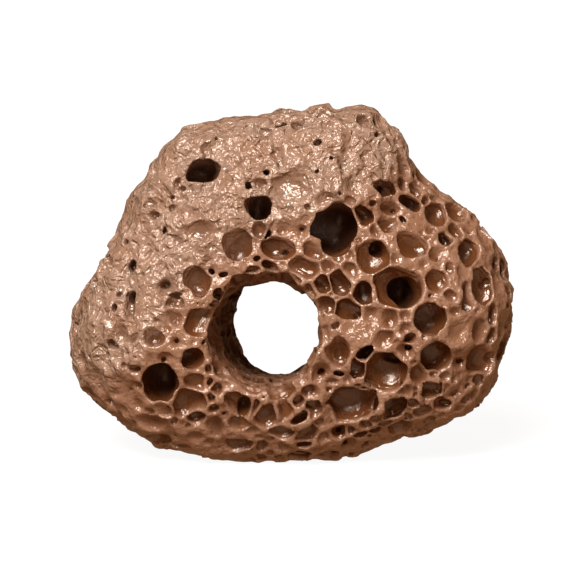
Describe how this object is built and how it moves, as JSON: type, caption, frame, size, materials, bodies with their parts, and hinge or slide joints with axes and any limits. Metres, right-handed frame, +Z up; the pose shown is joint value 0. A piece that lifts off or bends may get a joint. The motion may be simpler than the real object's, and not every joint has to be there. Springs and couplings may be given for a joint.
{
  "type": "lava rock",
  "caption": "Hand-sized rounded lump of bubbly brown lava rock with a round tunnel right through it, standing on a small flat.",
  "frame": {"origin": "under the middle of the bounding box, on the flat that the rock stands on", "axes": "+X along the length, -Y out of the front, where the tunnel's higher mouth is, +Z up"},
  "size_m": [0.1508, 0.0736, 0.1192],
  "materials": {
    "basalt": "warm brown vesicular basalt with a glossy glazed skin, darker in the bubbles"
  },
  "bodies": {
    "root": {"lava_rock": "basalt"}
  },
  "joints": []
}
